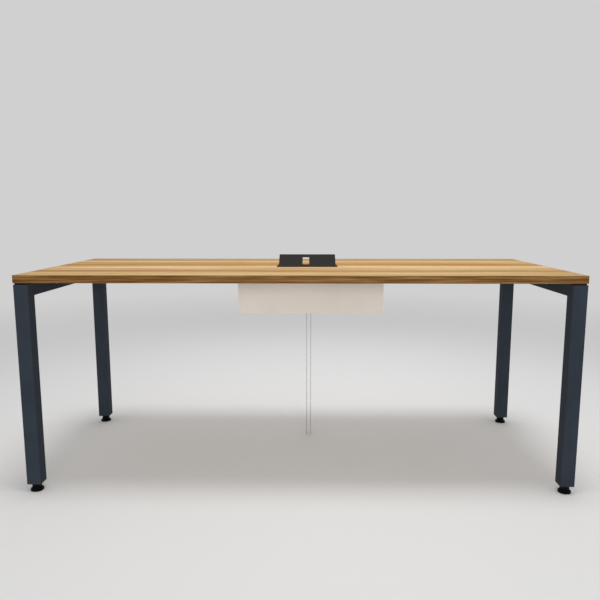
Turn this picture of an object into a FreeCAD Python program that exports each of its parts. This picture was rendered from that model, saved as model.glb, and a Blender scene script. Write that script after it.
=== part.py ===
import FreeCAD, Part
import math
import os
from FreeCAD import Vector

# A conference table: an oak-faced top on two end frames joined by two long beams, with an
# access flap in the top, a cable tray below it and a clear riser tube down to the floor.
# The origin is on the floor under the centre of the top. X runs along the length,
# Y runs from the front to the rear and Z is up. All sizes are in millimetres.

# Table top
TOP_LENGTH = 1800.0
TOP_DEPTH = 740.0
TABLE_HEIGHT = 720.0
BOARD_THICKNESS = 25.0
BAND_THICKNESS = 2.0
BAND_EDGE_RADIUS = 0.8

# Legs, square tube closed at the top by a welded plate
LEG_SIDE = 46.0
LEG_WALL = 2.0
LEG_CORNER_RADIUS = 2.0
LEG_INSET = 0.5
CAP_THICKNESS = 4.0
PLUG_CORNER_RELIEF = 1.0

# Gap between the frame and the board, kept by spacers on the legs and packers elsewhere
TOP_GAP = 5.0
SPACER_INSET = 3.0
PACKER_WIDTH = 20.0
RAIL_PACKER_SETBACK = 24.0
BEAM_PACKER_LENGTH = 60.0
BEAM_PACKER_SPACING = 900.0

# End rails, square tube from the front leg to the rear leg
RAIL_HEIGHT = 40.0
RAIL_WIDTH = 40.0
RAIL_WALL = 1.5
RAIL_CORNER_RADIUS = 3.0

# Long beams, flat tube from end rail to end rail, with a welded plate at each end
BEAM_SPACING = 250.0
BEAM_HEIGHT = 20.0
BEAM_WIDTH = 30.0
BEAM_WALL = 1.5
BEAM_CORNER_RADIUS = 2.5
PLATE_THICKNESS = 4.0
PLATE_HEIGHT = 24.0
PLATE_EAR = 24.0
PLATE_CORNER_CLIP = 5.0

# Levelling feet
FOOT_HEIGHT = 27.0
FOOT_TRAVEL = 15.0
FOOT_STOP_GAP = 0.3
INSERT_HEIGHT = 30.0
STUD_DIAMETER = 10.0
STUD_RUNNING_CLEARANCE = 0.08
STUD_SEAT_CLEARANCE = 0.05
STUD_SEAT_HEIGHT = 5.0
STUD_ENGAGEMENT = 18.0
PAD_DIAMETER = 42.0
PAD_RIM_HEIGHT = 6.0
PAD_HEIGHT = 10.0
PAD_SHOULDER_DIAMETER = 32.0
NECK_FLATS = 26.0

# Access flap in the top: a frame let into the board and a lid hinged at its front edge
FLAP_X = 23.0
FLAP_Y = -2.75
LID_LENGTH = 207.0
LID_REACH = 75.0
LID_THICKNESS = 3.0
LID_CORNER_RADIUS = 3.0
LID_GAP = 1.0
LID_OPEN_ANGLE = 32.0
KNUCKLE_RADIUS = 3.5
LIP_THICKNESS = 1.5
LIP_HEIGHT = 5.0
LIP_SETBACK = 8.0
WINDOW_WIDTH = 24.0
WINDOW_LENGTH = 51.0
WINDOW_START = 9.0
WINDOW_SHIFT = -5.0
WINDOW_CORNER_RADIUS = 3.0
FLANGE_WIDTH = 6.5
FLANGE_THICKNESS = 3.5
FLANGE_CORNER_RADIUS = 6.0
FLANGE_CHAMFER = 1.2
REBATE_DEPTH = 1.5
REBATE_CLEARANCE = 0.5
COLLAR_WALL = 3.0
COLLAR_CORNER_RADIUS = 4.0
COLLAR_DROP = 12.0
CUTOUT_CLEARANCE = 1.0
LEDGE_WIDTH = 4.0
LEDGE_HEIGHT = 4.0
LEDGE_GAP = 0.3
PIN_DIAMETER = 3.0
PIN_RUNNING_CLEARANCE = 0.08
PIN_SEAT_CLEARANCE = 0.03
PIN_REACH = 10.0
CLAMP_THICKNESS = 1.5
CLAMP_WIDTH = 30.0
CLAMP_FOOT = 20.0
CLAMP_HEIGHT = 11.0

# Cable tray, a folded sheet channel with lapped end caps, hung from the board by straps
TRAY_X = 36.0
TRAY_FRONT_Y = -62.0
TRAY_LENGTH = 528.0
TRAY_DEPTH = 284.0
TRAY_HEIGHT = 115.0
TRAY_CLEARANCE = 4.0
TRAY_SHEET = 1.5
TRAY_BEND_RADIUS = 3.0
TRAY_HEM = 10.0
CAP_LAP = 8.0
CAP_FIT = 0.1
HANGER_THICKNESS = 2.0
HANGER_WIDTH = 25.0
HANGER_FOOT = 22.0
HANGER_LAP = 28.0
HANGER_SETBACK = 40.0
HANGER_BEND_RADIUS = 3.0

# Riser tube from the tray to the floor, stopped by a collar on the tray's floor
RISER_X = 28.0
RISER_SETBACK = 32.0
RISER_DIAMETER = 20.0
RISER_WALL = 1.5
RISER_ABOVE_TRAY = 25.0
RISER_FLOOR_GAP = 1.0
RISER_FIT = 0.05
RISER_HOLE_CLEARANCE = 0.5
RISER_COLLAR_FLATS = 32.0
RISER_COLLAR_HEIGHT = 10.0

# Smallest radius left inside a thin bend or tube
SMALLEST_RADIUS = 0.2

# Heights and places that follow from the sizes above
UNDERSIDE_Z = TABLE_HEIGHT - BOARD_THICKNESS
FRAME_TOP_Z = UNDERSIDE_Z - TOP_GAP
BAND_ROUND = min(BAND_EDGE_RADIUS, BAND_THICKNESS / 2 - SMALLEST_RADIUS)
LEG_X = TOP_LENGTH / 2 - LEG_INSET - LEG_SIDE / 2
LEG_Y = TOP_DEPTH / 2 - LEG_INSET - LEG_SIDE / 2
LEG_BORE = LEG_SIDE - 2 * LEG_WALL
PLUG_CORNER_CLIP = max(LEG_CORNER_RADIUS - LEG_WALL, SMALLEST_RADIUS) + PLUG_CORNER_RELIEF
RAIL_INNER_X = LEG_X - RAIL_WIDTH / 2
RAIL_LENGTH = 2 * LEG_Y - LEG_SIDE
RAIL_PACKER_LENGTH = RAIL_LENGTH - 2 * RAIL_PACKER_SETBACK
PLATE_INNER_X = RAIL_INNER_X - PLATE_THICKNESS
BEAM_BOTTOM_Z = FRAME_TOP_Z - BEAM_HEIGHT
NECK_TOP_Z = FOOT_HEIGHT - FOOT_STOP_GAP
STUD_TOP_Z = FOOT_HEIGHT + FOOT_TRAVEL + STUD_ENGAGEMENT
LID_DEPTH = KNUCKLE_RADIUS + LID_REACH
WELL_LENGTH = LID_LENGTH + 2 * LID_GAP
WELL_DEPTH = LID_DEPTH + 2 * LID_GAP
COLLAR_LENGTH = WELL_LENGTH + 2 * COLLAR_WALL
COLLAR_DEPTH = WELL_DEPTH + 2 * COLLAR_WALL
COLLAR_BOTTOM_Z = UNDERSIDE_Z - COLLAR_DROP
FLANGE_LENGTH = WELL_LENGTH + 2 * FLANGE_WIDTH
FLANGE_DEPTH = WELL_DEPTH + 2 * FLANGE_WIDTH
FLANGE_BOTTOM_Z = TABLE_HEIGHT - REBATE_DEPTH
FLANGE_TOP_Z = FLANGE_BOTTOM_Z + FLANGE_THICKNESS
HINGE_Y = FLAP_Y - LID_DEPTH / 2 + KNUCKLE_RADIUS
HINGE_Z = FLANGE_TOP_Z - KNUCKLE_RADIUS
TRAY_RIM_Z = BEAM_BOTTOM_Z - TRAY_CLEARANCE
TRAY_BOTTOM_Z = TRAY_RIM_Z - TRAY_HEIGHT
TRAY_FLOOR_Z = TRAY_BOTTOM_Z + TRAY_SHEET
TRAY_REAR_Y = TRAY_FRONT_Y + TRAY_DEPTH
RISER_Y = TRAY_REAR_Y - RISER_SETBACK

ORIGIN = Vector(0, 0, 0)
ALONG_X = Vector(1, 0, 0)
ALONG_Y = Vector(0, 1, 0)
UP = Vector(0, 0, 1)
SAME_LENGTH = 0.001
SIDES = (-1, 1)
CORNERS = {
    "front_left": (-1, -1),
    "front_right": (1, -1),
    "rear_left": (-1, 1),
    "rear_right": (1, 1),
}


def block(xs, ys, zs):
    """A box between two values along each axis, given in either order."""
    low = Vector(min(xs), min(ys), min(zs))
    size = Vector(max(xs), max(ys), max(zs)) - low
    return Part.makeBox(size.x, size.y, size.z, low)


def rod(diameter, start, direction, length):
    """A round bar or hole of a diameter, from a point along a direction."""
    return Part.makeCylinder(diameter / 2, length, start, direction)


def hexagon_bar(flats, start, length):
    """An upright six-sided bar of a width across flats, from a point."""
    corner = flats / math.sqrt(3)
    turns = [math.radians(60 * i) for i in range(7)]
    points = [start + Vector(corner * math.cos(turn), corner * math.sin(turn), 0) for turn in turns]
    return Part.Face(Part.makePolygon(points)).extrude(UP * length)


def turned(profile, x, y):
    """A turned piece: an outline of (radius, height) points spun about an upright axis."""
    points = [Vector(radius, 0, height) for radius, height in profile]
    face = Part.Face(Part.makePolygon(points + points[:1]))
    solid = face.revolve(ORIGIN, UP, 360)
    solid.translate(Vector(x, y, 0))
    return solid


def same(value, target):
    """Whether two lengths agree."""
    return abs(value - target) < SAME_LENGTH


def runs_along(edge, direction):
    """Whether a straight edge runs along a direction."""
    span = edge.Vertexes[-1].Point - edge.Vertexes[0].Point
    return same(span.cross(direction).Length, 0)


def edges_in_plane(edges, normal, offset):
    """Those of some edges that lie in the plane at an offset along a normal."""
    return [edge for edge in edges
            if all(same(vertex.Point.dot(normal), offset) for vertex in edge.Vertexes)]


def upright_bar(size_x, size_y, x, y, z0, z1):
    """An upright bar of rectangular section centred at x and y, with its four long edges."""
    bar = block((x - size_x / 2, x + size_x / 2), (y - size_y / 2, y + size_y / 2), (z0, z1))
    return bar, [edge for edge in bar.Edges if runs_along(edge, UP)]


def rounded_bar(size_x, size_y, radius, x, y, z0, z1):
    """An upright bar whose long edges are round."""
    bar, long_edges = upright_bar(size_x, size_y, x, y, z0, z1)
    return bar.makeFillet(radius, long_edges)


def clipped_bar(size_x, size_y, clip, x, y, z0, z1):
    """An upright bar whose long edges are clipped at 45 degrees."""
    bar, long_edges = upright_bar(size_x, size_y, x, y, z0, z1)
    return bar.makeChamfer(clip, long_edges)


def tube(size_x, size_y, wall, radius, length):
    """An upright rectangular tube with round corners, centred on the Z axis, from the origin up."""
    outside = rounded_bar(size_x, size_y, radius, 0, 0, 0, length)
    bore_clip = max(radius - wall, SMALLEST_RADIUS)
    return outside.cut(clipped_bar(size_x - 2 * wall, size_y - 2 * wall, bore_clip, 0, 0, 0, length))


def group(solids):
    """Several equal loose pieces kept together as one node."""
    return Part.makeCompound(solids)


def make_top_board():
    """The board, cut through for the flap's collar and rebated for its flange."""
    half_x = TOP_LENGTH / 2 - BAND_THICKNESS
    half_y = TOP_DEPTH / 2 - BAND_THICKNESS
    board = block((-half_x, half_x), (-half_y, half_y), (UNDERSIDE_Z, TABLE_HEIGHT))
    cutout = rounded_bar(
        COLLAR_LENGTH + 2 * CUTOUT_CLEARANCE, COLLAR_DEPTH + 2 * CUTOUT_CLEARANCE,
        COLLAR_CORNER_RADIUS + CUTOUT_CLEARANCE, FLAP_X, FLAP_Y, UNDERSIDE_Z, TABLE_HEIGHT,
    )
    rebate = rounded_bar(
        FLANGE_LENGTH + 2 * REBATE_CLEARANCE, FLANGE_DEPTH + 2 * REBATE_CLEARANCE,
        FLANGE_CORNER_RADIUS + REBATE_CLEARANCE, FLAP_X, FLAP_Y, FLANGE_BOTTOM_Z, TABLE_HEIGHT,
    )
    return board.cut([cutout, rebate])


def make_long_band(side):
    """Edge band of the front (-1) or rear (1), over the full length, all outer edges eased."""
    outer = side * TOP_DEPTH / 2
    inner = outer - side * BAND_THICKNESS
    band = block((-TOP_LENGTH / 2, TOP_LENGTH / 2), (outer, inner), (UNDERSIDE_Z, TABLE_HEIGHT))
    return band.makeFillet(BAND_ROUND, edges_in_plane(band.Edges, ALONG_Y, outer))


def make_end_band(side):
    """Edge band of the left (-1) or right (1) end, between the long bands."""
    outer = side * TOP_LENGTH / 2
    inner = outer - side * BAND_THICKNESS
    half_y = TOP_DEPTH / 2 - BAND_THICKNESS
    band = block((outer, inner), (-half_y, half_y), (UNDERSIDE_Z, TABLE_HEIGHT))
    eased = [edge for edge in edges_in_plane(band.Edges, ALONG_X, outer) if runs_along(edge, ALONG_Y)]
    return band.makeFillet(BAND_ROUND, eased)


def make_leg(x, y):
    """A leg: square tube with round corners, open at both ends."""
    leg = tube(LEG_SIDE, LEG_SIDE, LEG_WALL, LEG_CORNER_RADIUS, FRAME_TOP_Z - FOOT_HEIGHT)
    leg.translate(Vector(x, y, FOOT_HEIGHT))
    return leg


def make_leg_cap(x, y):
    """The plate welded in a leg's upper end."""
    return clipped_bar(LEG_BORE, LEG_BORE, PLUG_CORNER_CLIP, x, y, FRAME_TOP_Z - CAP_THICKNESS, FRAME_TOP_Z)


def make_leg_spacers():
    """The spacers between the legs and the board, square like the legs, with clipped corners."""
    side = LEG_SIDE - 2 * SPACER_INSET
    return group([clipped_bar(side, side, LEG_CORNER_RADIUS, side_x * LEG_X, side_y * LEG_Y,
                              FRAME_TOP_Z, UNDERSIDE_Z) for side_x, side_y in CORNERS.values()])


def make_packers(places, size_x, size_y):
    """Flat packers between the frame and the board, where they are screwed together."""
    return group([upright_bar(size_x, size_y, x, y, FRAME_TOP_Z, UNDERSIDE_Z)[0] for x, y in places])


def make_rail_packers():
    """The long packers on the end rails."""
    return make_packers([(side * LEG_X, 0) for side in SIDES], PACKER_WIDTH, RAIL_PACKER_LENGTH)


def make_beam_packers():
    """The short packers on the long beams."""
    rows = [side * BEAM_SPACING / 2 for side in SIDES]
    places = [(side * BEAM_PACKER_SPACING / 2, y) for side in SIDES for y in rows]
    return make_packers(places, BEAM_PACKER_LENGTH, PACKER_WIDTH)


def make_end_rail(side):
    """The end rail of the left (-1) or right (1) frame."""
    rail = tube(RAIL_WIDTH, RAIL_HEIGHT, RAIL_WALL, RAIL_CORNER_RADIUS, RAIL_LENGTH)
    rail.rotate(ORIGIN, ALONG_X, 90)
    rail.translate(Vector(side * LEG_X, RAIL_LENGTH / 2, FRAME_TOP_Z - RAIL_HEIGHT / 2))
    return rail


def make_beam(side):
    """The front (-1) or rear (1) long beam."""
    beam = tube(BEAM_HEIGHT, BEAM_WIDTH, BEAM_WALL, BEAM_CORNER_RADIUS, 2 * PLATE_INNER_X)
    beam.rotate(ORIGIN, ALONG_Y, 90)
    beam.translate(Vector(-PLATE_INNER_X, side * BEAM_SPACING / 2, FRAME_TOP_Z - BEAM_HEIGHT / 2))
    return beam


def make_beam_plate(side_x, side_y):
    """The plate welded on a beam's end, with an ear on each side that is bolted to the rail."""
    width = BEAM_WIDTH + 2 * PLATE_EAR
    plate = clipped_bar(PLATE_HEIGHT, width, PLATE_CORNER_CLIP, 0, 0, 0, PLATE_THICKNESS)
    plate.rotate(ORIGIN, ALONG_Y, side_x * 90)
    middle_y = side_y * BEAM_SPACING / 2
    plate.translate(Vector(side_x * PLATE_INNER_X, middle_y, FRAME_TOP_Z - PLATE_HEIGHT / 2))
    return plate


def make_foot_insert(x, y):
    """The plug in a leg's lower end, with the bore that a foot's stud runs in."""
    top = FOOT_HEIGHT + INSERT_HEIGHT
    plug = clipped_bar(LEG_BORE, LEG_BORE, PLUG_CORNER_CLIP, x, y, FOOT_HEIGHT, top)
    bore = rod(STUD_DIAMETER + 2 * STUD_RUNNING_CLEARANCE, Vector(x, y, FOOT_HEIGHT), UP, INSERT_HEIGHT)
    return plug.cut(bore)


def make_foot_stud(x, y):
    """The stud of a levelling foot, long enough to stay in its insert when run out."""
    return rod(STUD_DIAMETER, Vector(x, y, STUD_SEAT_HEIGHT), UP, STUD_TOP_Z - STUD_SEAT_HEIGHT)


def make_foot_pad(x, y):
    """The moulded pad of a levelling foot: a round base with a sloped shoulder and a hexagonal neck."""
    rim = PAD_DIAMETER / 2
    base = turned([
        (0, 0),
        (rim, 0),
        (rim, PAD_RIM_HEIGHT),
        (PAD_SHOULDER_DIAMETER / 2, PAD_HEIGHT),
        (0, PAD_HEIGHT),
    ], x, y)
    neck = hexagon_bar(NECK_FLATS, Vector(x, y, PAD_RIM_HEIGHT), NECK_TOP_Z - PAD_RIM_HEIGHT)
    seat_start = Vector(x, y, STUD_SEAT_HEIGHT)
    seat = rod(STUD_DIAMETER + 2 * STUD_SEAT_CLEARANCE, seat_start, UP, NECK_TOP_Z - STUD_SEAT_HEIGHT)
    return base.fuse(neck).cut(seat).removeSplitter()


def hinge_end(side, half_length):
    """The point of the hinge axis at a distance from the flap's middle, left (-1) or right (1)."""
    return Vector(FLAP_X + side * half_length, HINGE_Y, HINGE_Z)


def make_flap_frame():
    """The flap's frame: a chamfered flange let into the top, a collar through it and the lid's ledge."""
    flange = rounded_bar(FLANGE_LENGTH, FLANGE_DEPTH, FLANGE_CORNER_RADIUS, FLAP_X, FLAP_Y,
                         FLANGE_BOTTOM_Z, FLANGE_TOP_Z)
    flange = flange.makeChamfer(FLANGE_CHAMFER, edges_in_plane(flange.Edges, UP, FLANGE_TOP_Z))
    collar = rounded_bar(COLLAR_LENGTH, COLLAR_DEPTH, COLLAR_CORNER_RADIUS, FLAP_X, FLAP_Y,
                         COLLAR_BOTTOM_Z, FLANGE_BOTTOM_Z)
    well_radius = max(COLLAR_CORNER_RADIUS - COLLAR_WALL, SMALLEST_RADIUS)
    well = rounded_bar(WELL_LENGTH, WELL_DEPTH, well_radius, FLAP_X, FLAP_Y, COLLAR_BOTTOM_Z, FLANGE_TOP_Z)
    far_wall = FLAP_Y + WELL_DEPTH / 2
    ledge_top = FLANGE_TOP_Z - LID_THICKNESS - LEDGE_GAP
    ledge = block((FLAP_X - WELL_LENGTH / 2, FLAP_X + WELL_LENGTH / 2),
                  (far_wall - LEDGE_WIDTH, far_wall + COLLAR_WALL / 2),
                  (ledge_top - LEDGE_HEIGHT, ledge_top))
    seats = [rod(PIN_DIAMETER + 2 * PIN_SEAT_CLEARANCE, hinge_end(side, WELL_LENGTH / 2), ALONG_X * side,
                 COLLAR_WALL) for side in SIDES]
    return flange.fuse(collar).cut(well).fuse(ledge).cut(seats).removeSplitter()


def make_flap_lid():
    """The lid: a windowed plate with a rolled hinge edge and two lips, stood open at its rest angle."""
    half = LID_LENGTH / 2
    plate_top = FLANGE_TOP_Z
    plate_bottom = plate_top - LID_THICKNESS
    far_edge = HINGE_Y + LID_REACH
    plate = block((FLAP_X - half, FLAP_X + half), (HINGE_Y, far_edge), (plate_bottom, plate_top))
    far_corners = [edge for edge in edges_in_plane(plate.Edges, ALONG_Y, far_edge) if runs_along(edge, UP)]
    plate = plate.makeFillet(LID_CORNER_RADIUS, far_corners)
    knuckle = rod(2 * KNUCKLE_RADIUS, hinge_end(-1, half), ALONG_X, LID_LENGTH)
    lip_rows = (HINGE_Y + KNUCKLE_RADIUS + LIP_SETBACK, far_edge - LIP_SETBACK)
    lips = []
    for side in SIDES:
        outer = FLAP_X + side * half
        lips.append(block((outer, outer - side * LIP_THICKNESS), lip_rows,
                          (plate_bottom - LIP_HEIGHT, plate_bottom)))
    window = rounded_bar(WINDOW_WIDTH, WINDOW_LENGTH, WINDOW_CORNER_RADIUS, FLAP_X + WINDOW_SHIFT,
                         HINGE_Y + WINDOW_START + WINDOW_LENGTH / 2, plate_bottom - LIP_HEIGHT, plate_top)
    bores = [rod(PIN_DIAMETER + 2 * PIN_RUNNING_CLEARANCE, hinge_end(side, half), ALONG_X * -side,
                 PIN_REACH + LID_GAP) for side in SIDES]
    lid = plate.fuse([knuckle] + lips).cut([window] + bores).removeSplitter()
    lid.rotate(hinge_end(1, 0), ALONG_X, LID_OPEN_ANGLE)
    return lid


def make_hinge_pins():
    """The two pins on which the lid turns, seated in the frame's end walls."""
    length = COLLAR_WALL + LID_GAP + PIN_REACH
    return group([rod(PIN_DIAMETER, hinge_end(side, COLLAR_LENGTH / 2), ALONG_X * -side, length)
                  for side in SIDES])


def make_flap_clamps():
    """The two angle clamps that hold the collar under the board."""
    rows = (FLAP_Y - CLAMP_WIDTH / 2, FLAP_Y + CLAMP_WIDTH / 2)
    clamps = []
    for side in SIDES:
        face = FLAP_X + side * COLLAR_LENGTH / 2
        back = face + side * CLAMP_THICKNESS
        wall = block((face, back), rows, (UNDERSIDE_Z - CLAMP_HEIGHT, UNDERSIDE_Z))
        foot = block((face, back + side * CLAMP_FOOT), rows, (UNDERSIDE_Z - CLAMP_THICKNESS, UNDERSIDE_Z))
        clamps.append(wall.fuse(foot).removeSplitter())
    return group(clamps)


def folded_channel(xs, ys, z0, z1, radius):
    """A box whose two lower edges along X are rounded like the bends of a folded channel."""
    channel = block(xs, ys, (z0, z1))
    bends = [edge for edge in edges_in_plane(channel.Edges, UP, z0) if runs_along(edge, ALONG_X)]
    return channel.makeFillet(radius, bends)


def make_tray_body():
    """The tray's folded channel: front wall, floor and rear wall with hemmed rims and the riser's hole."""
    half = TRAY_LENGTH / 2 - TRAY_SHEET
    xs = (TRAY_X - half, TRAY_X + half)
    outside = folded_channel(xs, (TRAY_FRONT_Y, TRAY_REAR_Y), TRAY_BOTTOM_Z, TRAY_RIM_Z, TRAY_BEND_RADIUS)
    inside = folded_channel(xs, (TRAY_FRONT_Y + TRAY_SHEET, TRAY_REAR_Y - TRAY_SHEET), TRAY_FLOOR_Z,
                            TRAY_RIM_Z - TRAY_SHEET, max(TRAY_BEND_RADIUS - TRAY_SHEET, SMALLEST_RADIUS))
    mouth = block(xs, (TRAY_FRONT_Y + TRAY_HEM, TRAY_REAR_Y - TRAY_HEM),
                  (TRAY_RIM_Z - TRAY_SHEET, TRAY_RIM_Z))
    hole_start = Vector(RISER_X, RISER_Y, TRAY_BOTTOM_Z)
    hole = rod(RISER_DIAMETER + 2 * RISER_HOLE_CLEARANCE, hole_start, UP, TRAY_SHEET)
    return outside.cut([inside, mouth, hole])


def make_tray_end(side):
    """An end cap: a plate that closes the channel, with flanges lapped round its outside."""
    outer_x = TRAY_X + side * TRAY_LENGTH / 2
    plate_x = outer_x - side * TRAY_SHEET
    lap_x = plate_x - side * CAP_LAP
    wrap = TRAY_SHEET + CAP_FIT
    shell = folded_channel((outer_x, lap_x), (TRAY_FRONT_Y - wrap, TRAY_REAR_Y + wrap),
                           TRAY_BOTTOM_Z - wrap, TRAY_RIM_Z, TRAY_BEND_RADIUS + wrap)
    core = folded_channel((plate_x, lap_x), (TRAY_FRONT_Y - CAP_FIT, TRAY_REAR_Y + CAP_FIT),
                          TRAY_BOTTOM_Z - CAP_FIT, TRAY_RIM_Z, TRAY_BEND_RADIUS + CAP_FIT)
    return shell.cut(core)


def make_tray_hangers():
    """The bent straps that carry the tray from the board."""
    low = TRAY_RIM_Z - HANGER_LAP
    foot_z = UNDERSIDE_Z - HANGER_THICKNESS
    hangers = []
    for side in SIDES:
        face = TRAY_X + side * TRAY_LENGTH / 2
        back = face + side * HANGER_THICKNESS
        for y in (TRAY_FRONT_Y + HANGER_SETBACK, TRAY_REAR_Y - HANGER_SETBACK):
            rows = (y - HANGER_WIDTH / 2, y + HANGER_WIDTH / 2)
            strap = block((face, back), rows, (low, UNDERSIDE_Z))
            foot = block((face, back + side * HANGER_FOOT), rows, (foot_z, UNDERSIDE_Z))
            hanger = strap.fuse(foot).removeSplitter()
            bend = edges_in_plane(edges_in_plane(hanger.Edges, UP, UNDERSIDE_Z), ALONG_X, face)
            hangers.append(hanger.makeFillet(HANGER_BEND_RADIUS, bend))
    return group(hangers)


def make_riser_tube():
    """The riser tube, from inside the tray down to the floor."""
    base = Vector(RISER_X, RISER_Y, RISER_FLOOR_GAP)
    length = TRAY_FLOOR_Z + RISER_ABOVE_TRAY - RISER_FLOOR_GAP
    bore = rod(RISER_DIAMETER - 2 * RISER_WALL, base, UP, length)
    return rod(RISER_DIAMETER, base, UP, length).cut(bore)


def make_riser_collar():
    """The six-sided collar on the tube, which rests on the tray's floor."""
    seat = Vector(RISER_X, RISER_Y, TRAY_FLOOR_Z)
    bore = rod(RISER_DIAMETER + 2 * RISER_FIT, seat, UP, RISER_COLLAR_HEIGHT)
    return hexagon_bar(RISER_COLLAR_FLATS, seat, RISER_COLLAR_HEIGHT).cut(bore)


def make_nodes():
    """Every piece of the table by the name of its node."""
    nodes = {
        "top_board": make_top_board(),
        "edge_band_front": make_long_band(-1),
        "edge_band_rear": make_long_band(1),
        "edge_band_left": make_end_band(-1),
        "edge_band_right": make_end_band(1),
        "end_rail_left": make_end_rail(-1),
        "end_rail_right": make_end_rail(1),
        "rail_packers": make_rail_packers(),
        "beam_front": make_beam(-1),
        "beam_rear": make_beam(1),
        "beam_packers": make_beam_packers(),
        "leg_spacers": make_leg_spacers(),
        "flap_frame": make_flap_frame(),
        "flap_lid": make_flap_lid(),
        "flap_hinge_pins": make_hinge_pins(),
        "flap_clamps": make_flap_clamps(),
        "tray_body": make_tray_body(),
        "tray_end_left": make_tray_end(-1),
        "tray_end_right": make_tray_end(1),
        "tray_hangers": make_tray_hangers(),
        "riser_tube": make_riser_tube(),
        "riser_collar": make_riser_collar(),
    }
    for corner, (side_x, side_y) in CORNERS.items():
        x = side_x * LEG_X
        y = side_y * LEG_Y
        nodes["leg_" + corner] = make_leg(x, y)
        nodes["leg_cap_" + corner] = make_leg_cap(x, y)
        nodes["foot_insert_" + corner] = make_foot_insert(x, y)
        nodes["foot_stud_" + corner] = make_foot_stud(x, y)
        nodes["foot_pad_" + corner] = make_foot_pad(x, y)
        nodes["beam_plate_" + corner] = make_beam_plate(side_x, side_y)
    return nodes


os.makedirs("parts", exist_ok=True)
for name, shape in make_nodes().items():
    if not shape.isValid():
        raise ValueError("the solid of " + name + " is not valid")
    shape.exportStep("parts/" + name + ".step")
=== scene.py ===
"""Looks of a conference table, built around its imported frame.

The frame gives every construction piece at its real size, in metres. Here each of them gets its
finish, the screws, bolts, rivets, welds and threads are modelled, and the table stands in a
plain studio.
"""
import logging
import math
from collections.abc import Iterable, Sequence
from dataclasses import dataclass, field
from enum import Enum

import bmesh
import bpy
from mathutils import Matrix, Vector

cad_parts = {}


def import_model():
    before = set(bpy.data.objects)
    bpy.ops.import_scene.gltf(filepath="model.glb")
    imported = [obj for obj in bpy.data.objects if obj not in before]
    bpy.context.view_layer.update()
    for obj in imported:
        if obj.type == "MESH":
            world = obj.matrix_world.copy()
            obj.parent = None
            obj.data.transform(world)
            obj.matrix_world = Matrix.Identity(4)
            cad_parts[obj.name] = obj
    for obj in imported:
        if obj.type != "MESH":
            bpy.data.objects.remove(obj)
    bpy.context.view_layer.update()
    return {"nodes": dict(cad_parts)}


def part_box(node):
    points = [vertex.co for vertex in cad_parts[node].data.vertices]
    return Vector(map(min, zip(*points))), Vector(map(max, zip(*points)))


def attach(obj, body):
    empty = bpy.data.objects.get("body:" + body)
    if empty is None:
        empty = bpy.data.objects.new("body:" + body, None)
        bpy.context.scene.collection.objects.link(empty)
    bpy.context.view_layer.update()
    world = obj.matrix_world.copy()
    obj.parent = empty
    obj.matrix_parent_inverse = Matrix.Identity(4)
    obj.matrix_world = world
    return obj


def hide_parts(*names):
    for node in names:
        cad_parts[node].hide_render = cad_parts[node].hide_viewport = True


LOG = logging.getLogger("conference_table")

Colour = tuple[float, float, float, float]
Socket = bpy.types.NodeSocket
Span = tuple[float, float]
Triple = tuple[float, float, float]
Stops = Sequence[tuple[float, Colour]]

WHITE: Colour = (1.0, 1.0, 1.0, 1.0)
FIXED_BODY = "table"
SIDES = (-1, 1)
DOWN = Vector((0.0, 0.0, -1.0))
SHARP_ANGLE = math.radians(35)
HEAD_POINTS = 24

# Most of a noise's values lie in the first span, and a change of tone takes up the second.
NOISE_SPAN: Span = (0.3, 0.7)
TONE_SPAN: Span = (0.35, 0.65)

# What a range is mapped to: a share that rises over it, or one that falls.
RISING: Span = (0.0, 1.0)
FALLING: Span = (1.0, 0.0)

# A Mix node has sockets for every type of value. These are the ones for colours.
MIX_COLOURS_IN = (6, 7)
MIX_COLOUR_OUT = 2

# The bands of a wave texture repeat after this length of its coordinates.
WAVE_PERIOD = math.pi / 10


class Corner(Enum):
    """A corner of the table, by the name that its nodes end with."""

    FRONT_LEFT = "front_left"
    FRONT_RIGHT = "front_right"
    REAR_LEFT = "rear_left"
    REAR_RIGHT = "rear_right"


class Grain(Enum):
    """The axis that a wood grain runs along."""

    ALONG_X = 0
    ALONG_Y = 1


class Outline(Enum):
    """The outline of a ring of a lofted piece."""

    ROUND = "round"
    HEXAGON = "hexagon"


class Slot(Enum):
    """Names of material slots for new pieces' finishes; nothing in this script reads them."""

    SLATE_PAINT = "slate_paint"
    BLACK_PLASTIC = "black_plastic"
    ZINC_STEEL = "zinc_steel"
    CREAM_PAINT = "cream_paint"


def srgb(red: int, green: int, blue: int) -> Colour:
    """Turn an 8-bit display colour into a linear one, by the sRGB curve.

    Args:
        red, green, blue: The channels, 0 to 255.

    Returns:
        The linear colour, opaque.
    """
    linear = []
    for channel in (red, green, blue):
        share = channel / 255
        linear.append(share / 12.92 if share <= 0.04045 else ((share + 0.055) / 1.055) ** 2.4)
    return linear[0], linear[1], linear[2], 1.0


def grey(level: float) -> Colour:
    """A neutral linear colour of a level, opaque."""
    return level, level, level, 1.0


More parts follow.
